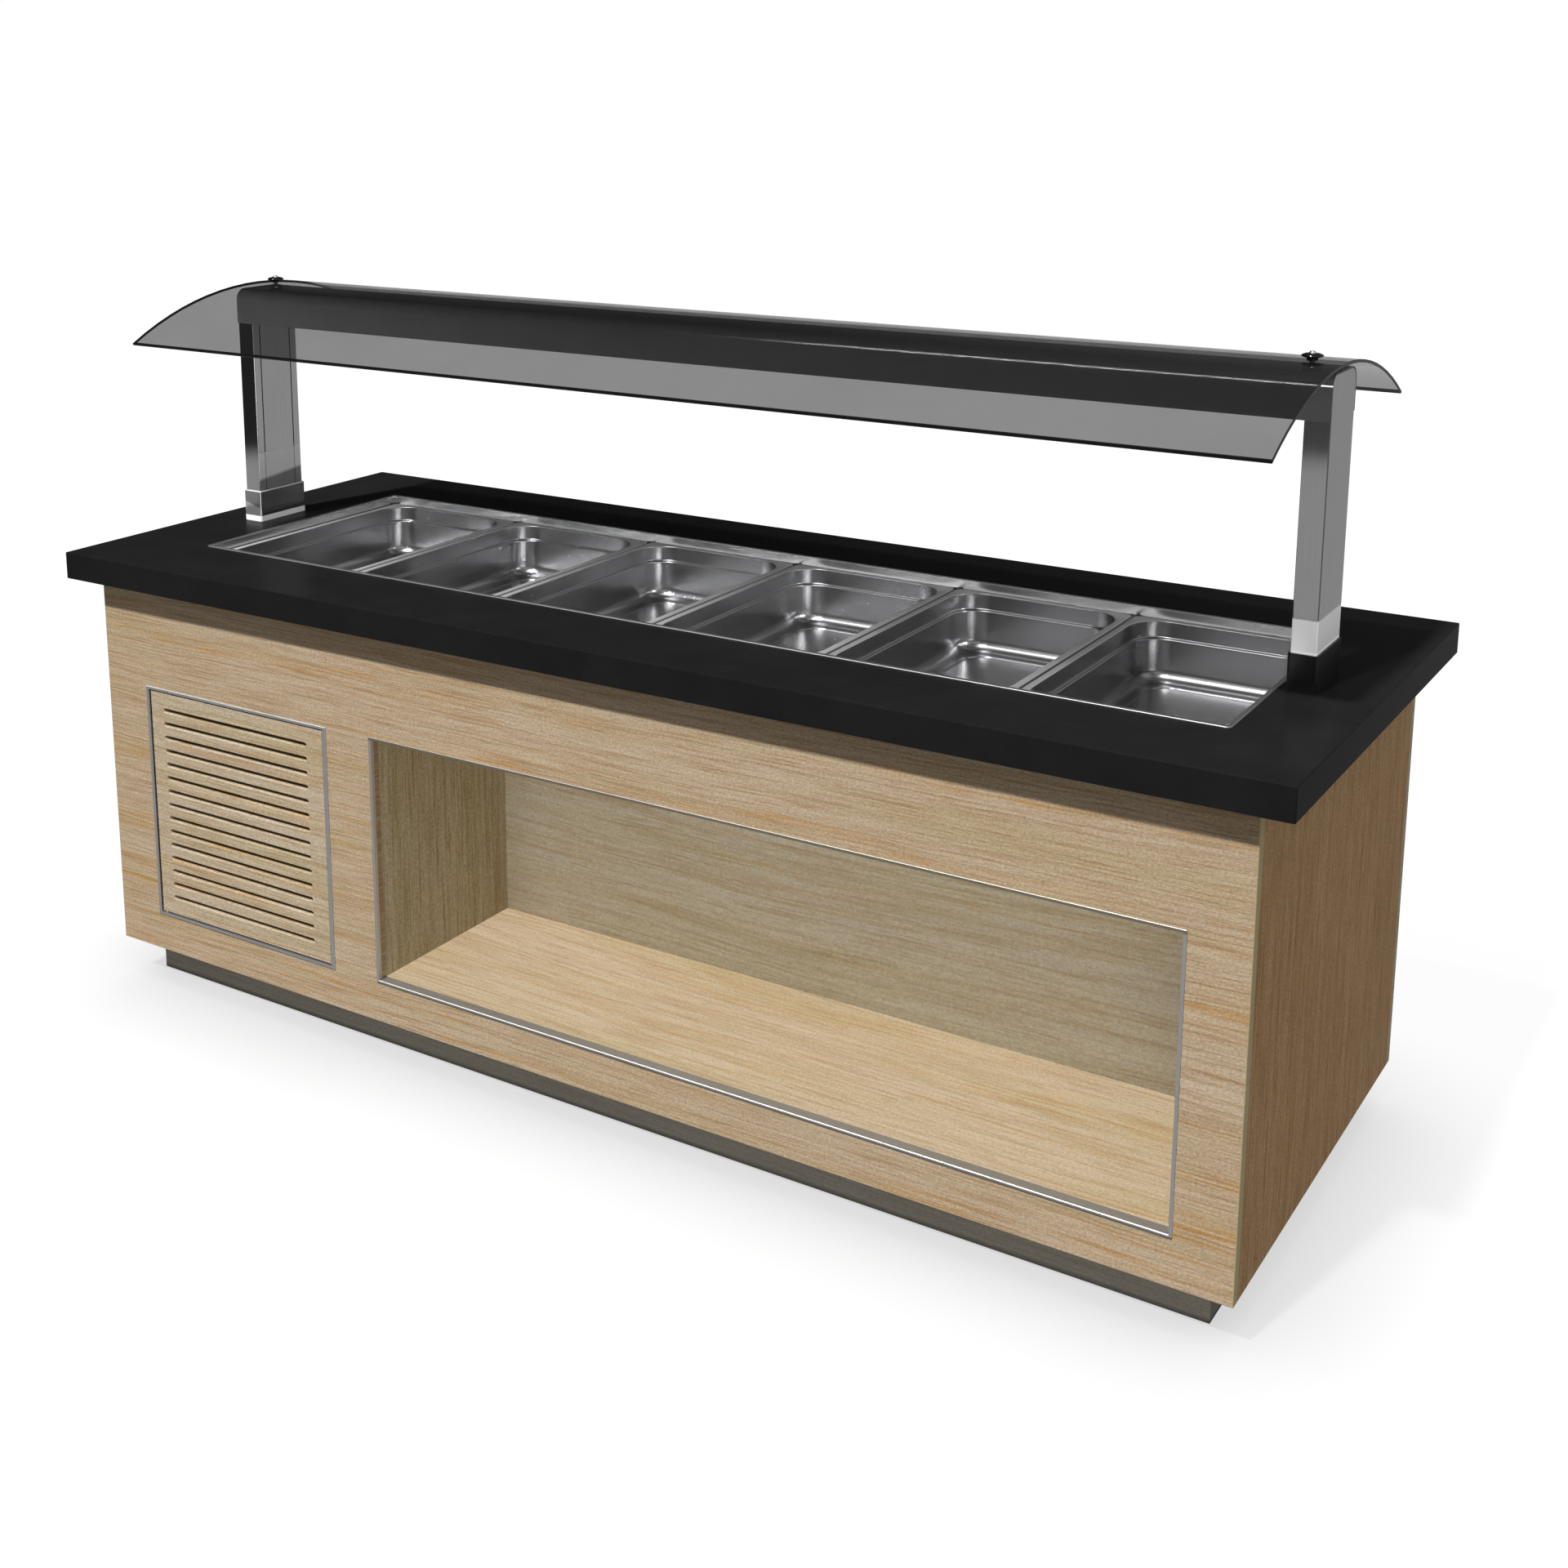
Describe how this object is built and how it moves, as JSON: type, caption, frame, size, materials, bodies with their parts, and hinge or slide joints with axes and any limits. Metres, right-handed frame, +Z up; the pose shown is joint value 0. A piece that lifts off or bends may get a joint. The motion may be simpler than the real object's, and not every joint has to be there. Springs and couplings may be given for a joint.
{
  "type": "salad bar",
  "caption": "Free-standing refrigerated salad bar: wood-grain cabinet with open niche and grille door, black stone counter, steel well of food pans, curved smoked guard on chrome posts.",
  "frame": {"origin": "on the floor, under the middle of the counter", "axes": "+X along the length, to the right as seen from the niche side; +Y from the niche side to the rear; +Z up"},
  "size_m": [2.33, 0.9, 1.3499],
  "materials": {
    "oak_laminate": "satin light oak wood-grain laminate",
    "plinth_laminate": "matt grey-brown laminate",
    "plywood": "bare plywood",
    "black_stone": "polished black",
    "pan_steel": "bright stainless",
    "well_steel": "satin stainless",
    "polished_steel": "polished stainless",
    "trim_aluminium": "satin anodised",
    "guard_acrylic": "clear smoked acrylic, polished edges",
    "beam_black": "semi-gloss black",
    "opal_acrylic": "opal",
    "foam": "rigid foam",
    "copper": "drawn copper tube",
    "brass": "nickel-free brass",
    "black_paint": "black enamel",
    "galvanised": "galvanised sheet",
    "zinc_fastener": "bright zinc",
    "rubber": "black rubber",
    "black_plastic": "moulded black plastic",
    "white_pipe": "white drain pipe"
  },
  "bodies": {
    "cabinet": {"plinth_boards": "plinth_laminate", "base_panel": "oak_laminate", "left_end_panel": "oak_laminate", "right_end_panel": "oak_laminate", "front_panel": "oak_laminate", "rear_panel": "oak_laminate", "rear_service_panel": "oak_laminate", "service_panel_screws": "zinc_fastener", "niche_side_walls": "oak_laminate", "niche_back_wall": "oak_laminate", "niche_floor": "oak_laminate", "niche_ceiling": "oak_laminate", "niche_trim": "trim_aluminium", "grille_trim": "trim_aluminium", "door_magnet": "black_plastic", "countertop": "black_stone", "counter_substrate": "plywood", "well_tank": "well_steel", "tank_insulation": "foam", "evaporator_coil": "copper", "pan_support_bars": "well_steel", "drain_pipe": "white_pipe", "drain_valve": "brass", "post_left": "polished_steel", "post_right": "polished_steel", "post_wiring_covers": "polished_steel", "post_collar": "polished_steel", "post_foot_cover": "black_plastic", "post_bolts": "zinc_fastener", "beam_housing": "beam_black", "lamp_diffuser": "opal_acrylic", "led_strip": "trim_aluminium", "guard_sheet": "guard_acrylic", "guard_spacers": "rubber", "unit_tray": "galvanised", "compressor": "black_paint", "compressor_mounts": "rubber", "condenser": "black_paint", "fan_cowl": "black_paint", "fan_motor": "black_paint", "filter_drier": "copper", "refrigerant_lines": "copper", "control_panel": "black_plastic", "cable_gland": "black_plastic"},
    "pan_1": {"gn_pan_1": "pan_steel"},
    "pan_2": {"gn_pan_2": "pan_steel"},
    "pan_3": {"gn_pan_3": "pan_steel"},
    "pan_4": {"gn_pan_4": "pan_steel"},
    "pan_5": {"gn_pan_5": "pan_steel"},
    "pan_6": {"gn_pan_6": "pan_steel"},
    "grille": {"grille_door": "oak_laminate", "door_pivot_pins": "zinc_fastener", "door_keeper_plate": "zinc_fastener"},
    "fan": {"fan_blade": "trim_aluminium"},
    "guard_screw_left": {"thumb_screw_left": "polished_steel"},
    "guard_screw_right": {"thumb_screw_right": "polished_steel"},
    "power_rocker": {"rocker_switch_power": "black_plastic"},
    "light_rocker": {"rocker_switch_light": "black_plastic"},
    "thermostat": {"thermostat_knob": "black_plastic"},
    "drain_lever": {"drain_valve_lever": "polished_steel"}
  },
  "joints": [
    {"name": "pan_1_lift", "type": "slide", "parent": "cabinet", "child": "pan_1", "axis": [0, 0, 1], "range_m": [0, 0.18]},
    {"name": "pan_2_lift", "type": "slide", "parent": "cabinet", "child": "pan_2", "axis": [0, 0, 1], "range_m": [0, 0.18]},
    {"name": "pan_3_lift", "type": "slide", "parent": "cabinet", "child": "pan_3", "axis": [0, 0, 1], "range_m": [0, 0.18]},
    {"name": "pan_4_lift", "type": "slide", "parent": "cabinet", "child": "pan_4", "axis": [0, 0, 1], "range_m": [0, 0.18]},
    {"name": "pan_5_lift", "type": "slide", "parent": "cabinet", "child": "pan_5", "axis": [0, 0, 1], "range_m": [0, 0.18]},
    {"name": "pan_6_lift", "type": "slide", "parent": "cabinet", "child": "pan_6", "axis": [0, 0, 1], "range_m": [0, 0.18]},
    {"name": "grille_door_hinge", "type": "hinge", "parent": "cabinet", "child": "grille", "pos_m": [-0.99, -0.406, 0.379], "axis": [0, 0, -1], "range_deg": [0, 100]},
    {"name": "fan_spin", "type": "hinge", "parent": "cabinet", "child": "fan", "pos_m": [-0.79, -0.242, 0.28], "axis": [0, 1, 0], "continuous": true},
    {"name": "guard_screw_left_turn", "type": "hinge", "parent": "cabinet", "child": "guard_screw_left", "pos_m": [-1.026, 0, 1.342], "axis": [0, 0, 1], "continuous": true},
    {"name": "guard_screw_right_turn", "type": "hinge", "parent": "cabinet", "child": "guard_screw_right", "pos_m": [1.026, 0, 1.342], "axis": [0, 0, 1], "continuous": true},
    {"name": "power_rocker_tilt", "type": "hinge", "parent": "cabinet", "child": "power_rocker", "pos_m": [-0.758, 0.4255, 0.69], "axis": [1, 0, 0], "range_deg": [-14, 0]},
    {"name": "light_rocker_tilt", "type": "hinge", "parent": "cabinet", "child": "light_rocker", "pos_m": [-0.722, 0.4255, 0.69], "axis": [1, 0, 0], "range_deg": [-14, 0]},
    {"name": "thermostat_turn", "type": "hinge", "parent": "cabinet", "child": "thermostat", "pos_m": [-0.654, 0.43, 0.69], "axis": [0, -1, 0], "range_deg": [0, 270]},
    {"name": "drain_lever_turn", "type": "hinge", "parent": "cabinet", "child": "drain_lever", "pos_m": [-0.541, -0.09, 0.2], "axis": [1, 0, 0], "range_deg": [0, 90]}
  ]
}
